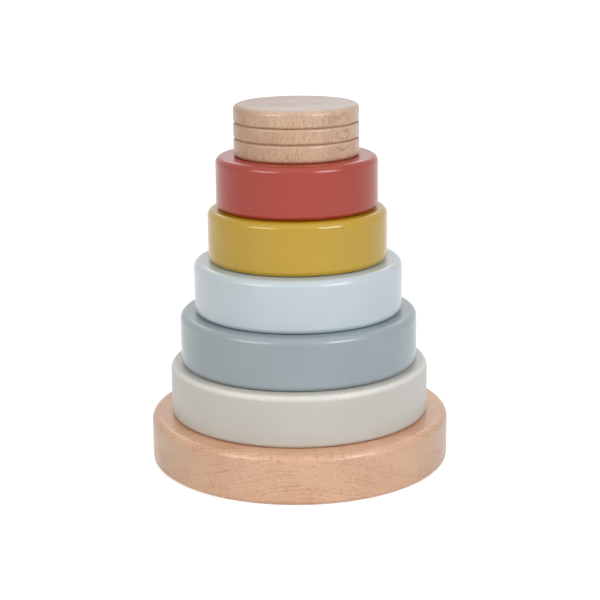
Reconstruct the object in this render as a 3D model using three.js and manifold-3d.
// A stacking ring toy for a small child: a round beech base with a dowel peg, five painted wooden
// rings that get smaller towards the top, and a grooved beech cap that sits on the end of the peg.
// Every piece is turned on a lathe, so every piece here is a section revolved about the peg.
// Millimetres, +Z up. The origin is the middle of the underside, which the toy stands on.

import * as THREE from "three";
import { mergeVertices } from "three/addons/utils/BufferGeometryUtils.js";
import Module from "manifold-3d";

// Base: a thick disc, drilled for the peg from above and for its screw from below
const baseDiameter = 120;
const baseThickness = 19.7;
const baseTopRound = 3;
const baseFootRound = 2;

// Peg: a dowel glued into the base, which reaches up through the rings and into the cap
const pegDiameter = 16;
const pegSeatDepth = 12;
const pegSeatBreak = 0.6;
const pegGlueGap = 0.1;
const pegFootChamfer = 1;
const pegEndRound = 4;
const pegReachIntoCap = 12;

// Rings, from the base up: each has its own diameter, and the rest they share
const ringDiameters = {
  ring_stone_white: 103.5,
  ring_slate_blue: 94.9,
  ring_pale_blue: 83,
  ring_mustard: 71.2,
  ring_brick_red: 64,
};
const ringThickness = 20.75;
const ringTopRound = 2.8;
const ringFootRound = 2.2;
const ringBoreRound = 1.2;

// How far every bore stands off the peg: the rings and the cap are bored with one drill
const boreClearance = 1.5;

// Cap: the last piece of the stack, with two grooves round it and a blind bore for the peg.
// Each groove is a fine kerf between two well rounded lips, so the cap looks like three thin discs.
const capDiameter = 49.4;
const capThickness = 20.1;
const capTopRound = 2.4;
const capFootRound = 1.2;
const capBoreHeadroom = 2;
const capBoreChamfer = 1;
const grooveHeights = [6.9, 13.1];
const grooveWidth = 0.3;
const grooveDepth = 2;
const grooveLipRound = 1;

// Screw: a countersunk wood screw, driven from below through the base into the end of the peg
const screwHeadDiameter = 8;
const screwShankDiameter = 4;
const screwLength = 30;
const screwTipLength = 5;
const screwTipDiameter = 1;
const screwSink = 0.5;
const screwClearance = 0.1;
const screwRimHeight = 0.3;
const pilotHeadroom = 1;
const recessSpan = 4.4;
const recessSlot = 1;
const recessDepth = 1.6;

// The air, glue or paint that is left between two faces that rest on each other
const seatGap = 0.05;
// How far a facet may lie inside the true round
const chordTolerance = 0.08;
// How far a cutting solid runs past the face that it cuts
const cutOverrun = 0.5;

// Heights at which the pieces of the stack rest, from the base up
const pegSeatFloor = baseThickness - pegSeatDepth;
const pegBottom = pegSeatFloor + seatGap;
const firstRingBottom = baseThickness + seatGap;
const ringPitch = ringThickness + seatGap;
const capBottom = firstRingBottom + Object.keys(ringDiameters).length * ringPitch;
const pegTop = capBottom + pegReachIntoCap;

const pegRadius = pegDiameter / 2;
const screwHeadRadius = screwHeadDiameter / 2;
const screwShankRadius = screwShankDiameter / 2;
const screwTipRadius = screwTipDiameter / 2;
const screwConeHeight = screwHeadRadius - screwShankRadius;

// The number of facets that keeps an arc within the chord tolerance
function facetsFor(radius, turn) {
  const widest = 2 * Math.acos(1 - Math.min(chordTolerance / radius, 0.5));
  return Math.ceil(turn / widest);
}

// The arc that rounds the corner between its two neighbours, no larger than half of either side
function cornerArc(before, corner, after, round) {
  const back = before.clone().sub(corner);
  const ahead = after.clone().sub(corner);
  const room = Math.min(back.length(), ahead.length()) / 2;
  back.normalize();
  ahead.normalize();
  const halfAngle = Math.acos(THREE.MathUtils.clamp(back.dot(ahead), -1, 1)) / 2;
  const radius = Math.min(round, room * Math.tan(halfAngle));
  const towardsCentre = back.clone().add(ahead).normalize();
  const centre = towardsCentre.clone().multiplyScalar(radius / Math.sin(halfAngle)).add(corner);
  const tangent = radius / Math.tan(halfAngle);
  const start = back.clone().multiplyScalar(tangent).add(corner).sub(centre);
  const end = ahead.clone().multiplyScalar(tangent).add(corner).sub(centre);
  const clockwise = start.cross(end) < 0;
  const arc = new THREE.EllipseCurve(
    centre.x, centre.y, radius, radius, start.angle(), end.angle(), clockwise,
  );
  return arc.getPoints(facetsFor(radius, Math.PI - 2 * halfAngle));
}

// Turns a list of corners, each [radius, height, round], into a section with its corners rounded.
// A closed section runs round a bore; an open one starts and ends on the axis.
function sectionOf(corners, closed) {
  const places = corners.map(([radius, height]) => new THREE.Vector2(radius, height));
  const count = places.length;
  const section = places.flatMap((place, i) => {
    const round = corners[i][2] ?? 0;
    if (round === 0) return [place];
    return cornerArc(places[(i + count - 1) % count], place, places[(i + 1) % count], round);
  });
  return closed ? [...section, section[0]] : section;
}

// Revolves a section about Z, with facets in fours so that the four sides are alike
function turned(corners, closed) {
  const section = sectionOf(corners, closed);
  const widest = Math.max(...section.map((point) => point.x));
  const facets = 4 * facetsFor(widest, Math.PI / 2);
  return new THREE.LatheGeometry(section, facets).rotateX(Math.PI / 2);
}

const wasm = await Module();
wasm.setup();

// A closed geometry as a solid that can be cut
function solidOf(geometry) {
  const bare = geometry.clone();
  bare.deleteAttribute("normal");
  bare.deleteAttribute("uv");
  const merged = mergeVertices(bare);
  const count = merged.attributes.position.count;
  const triVerts = Uint32Array.from(merged.index ? merged.index.array : Array(count).keys());
  const vertProperties = Float32Array.from(merged.attributes.position.array);
  return new wasm.Manifold(new wasm.Mesh({ numProp: 3, vertProperties, triVerts }));
}

// A cut solid as a geometry that can be shown
function geometryOf(solid) {
  const mesh = solid.getMesh();
  const geometry = new THREE.BufferGeometry();
  geometry.setAttribute("position", new THREE.BufferAttribute(mesh.vertProperties, 3));
  geometry.setIndex(new THREE.BufferAttribute(mesh.triVerts, 1));
  return geometry;
}

// The base is a disc with a round seat for the peg, a hole for the screw and a countersink
function baseGeometry() {
  const rim = baseDiameter / 2;
  const seat = pegRadius + pegGlueGap;
  const hole = screwShankRadius + screwClearance;
  const countersink = screwHeadRadius + screwClearance;
  return turned([
    [countersink, 0],
    [rim, 0, baseFootRound],
    [rim, baseThickness, baseTopRound],
    [seat + pegSeatBreak, baseThickness],
    [seat, baseThickness - pegSeatBreak],
    [seat, pegSeatFloor],
    [hole, pegSeatFloor],
    [hole, screwSink + screwRimHeight + screwConeHeight],
    [countersink, screwSink + screwRimHeight],
  ], true);
}

// The peg is a dowel with a domed end and, in its foot, a pilot hole for the screw
function pegGeometry() {
  const length = pegTop - pegBottom;
  const pilot = screwShankRadius + screwClearance;
  const pilotDepth = screwSink + screwLength - pegBottom + pilotHeadroom;
  return turned([
    [0, pilotDepth + pilot],
    [pilot, pilotDepth],
    [pilot, 0],
    [pegRadius - pegFootChamfer, 0],
    [pegRadius, pegFootChamfer],
    [pegRadius, length, pegEndRound],
    [0, length],
  ], false);
}

// The screw stands on its head, tip up, with a cross recess for the driver in the head
function screwGeometry() {
  const blank = turned([
    [0, 0],
    [screwHeadRadius - screwRimHeight, 0],
    [screwHeadRadius, screwRimHeight],
    [screwShankRadius, screwConeHeight + screwRimHeight],
    [screwShankRadius, screwLength - screwTipLength],
    [screwTipRadius, screwLength],
    [0, screwLength],
  ], false);
  const depth = recessDepth + cutOverrun;
  const slot = new THREE.BoxGeometry(recessSpan, recessSlot, depth);
  slot.translate(0, 0, depth / 2 - cutOverrun);
  const crossSlot = slot.clone().rotateZ(Math.PI / 2);
  const recess = solidOf(slot).add(solidOf(crossSlot));
  return geometryOf(solidOf(blank).subtract(recess));
}

// A ring is a thick washer, well rounded outside and softly rounded at the bore
function ringGeometry(diameter) {
  const rim = diameter / 2;
  const bore = pegRadius + boreClearance;
  return turned([
    [bore, 0, ringBoreRound],
    [rim, 0, ringFootRound],
    [rim, ringThickness, ringTopRound],
    [bore, ringThickness, ringBoreRound],
  ], true);
}

// The cap is a plain disc outside but for its grooves, and hides the end of the peg inside
function capGeometry() {
  const rim = capDiameter / 2;
  const bore = pegRadius + boreClearance;
  const boreDepth = pegReachIntoCap + capBoreHeadroom;
  const grooves = grooveHeights.flatMap((height) => [
    [rim, height - grooveWidth / 2, grooveLipRound],
    [rim - grooveDepth, height - grooveWidth / 2],
    [rim - grooveDepth, height + grooveWidth / 2],
    [rim, height + grooveWidth / 2, grooveLipRound],
  ]);
  return turned([
    [0, boreDepth],
    [bore, boreDepth],
    [bore, capBoreChamfer],
    [bore + capBoreChamfer, 0],
    [rim, 0, capFootRound],
    ...grooves,
    [rim, capThickness, capTopRound],
    [0, capThickness],
  ], false);
}

// Finishes: clear lacquer on the beech, satin enamel on the rings, bright zinc on the screw
const beech = { color: "#d9ae90", roughness: 0.45, metalness: 0 };
const zincSteel = { color: "#c4c6c8", roughness: 0.35, metalness: 1 };
const enamels = {
  ring_stone_white: "#c8c5bf",
  ring_slate_blue: "#9fabb1",
  ring_pale_blue: "#c7d2d8",
  ring_mustard: "#c4a247",
  ring_brick_red: "#b05247",
};

// One piece of the toy, resting at its height in the stack
function piece(name, geometry, finish, height) {
  const mesh = new THREE.Mesh(geometry, new THREE.MeshStandardMaterial(finish));
  mesh.name = name;
  mesh.position.z = height;
  return mesh;
}

// The base, peg and screw stay together
const stand = new THREE.Group();
stand.add(piece("base", baseGeometry(), beech, 0));
stand.add(piece("peg", pegGeometry(), beech, pegBottom));
stand.add(piece("peg_screw", screwGeometry(), zincSteel, screwSink));

// The rings and the cap lift off one by one
const stack = new THREE.Group();
Object.entries(ringDiameters).forEach(([name, diameter], i) => {
  const finish = { color: enamels[name], roughness: 0.35, metalness: 0 };
  stack.add(piece(name, ringGeometry(diameter), finish, firstRingBottom + i * ringPitch));
});
stack.add(piece("grooved_cap", capGeometry(), beech, capBottom));

const toy = new THREE.Group();
toy.add(stand, stack);

export default toy;
